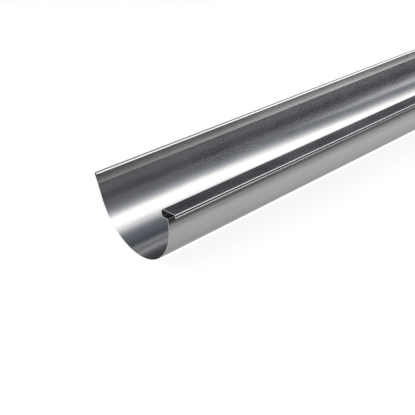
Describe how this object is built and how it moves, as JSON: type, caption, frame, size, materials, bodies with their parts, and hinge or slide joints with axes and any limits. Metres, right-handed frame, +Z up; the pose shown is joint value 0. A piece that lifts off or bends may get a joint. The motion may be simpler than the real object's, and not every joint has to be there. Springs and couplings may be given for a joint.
{
  "type": "half-round gutter section",
  "caption": "One straight length of half-round steel gutter with a flat-topped front bead and a creased, hemmed back edge.",
  "frame": {"origin": "middle of the underside of the whole length's box, on the floor that it lies on", "axes": "+X along the length, -Y towards the front bead, +Y towards the back edge, +Z up; the section is rolled 10.4 degrees towards the bead, as it comes to rest on its round bottom"},
  "size_m": [2, 0.14, 0.0919],
  "materials": {
    "bright_steel_sheet": "bright zinc-coated steel sheet, smooth, with fine roller streaks along the length"
  },
  "bodies": {
    "root": {"gutter": "bright_steel_sheet"}
  },
  "joints": []
}
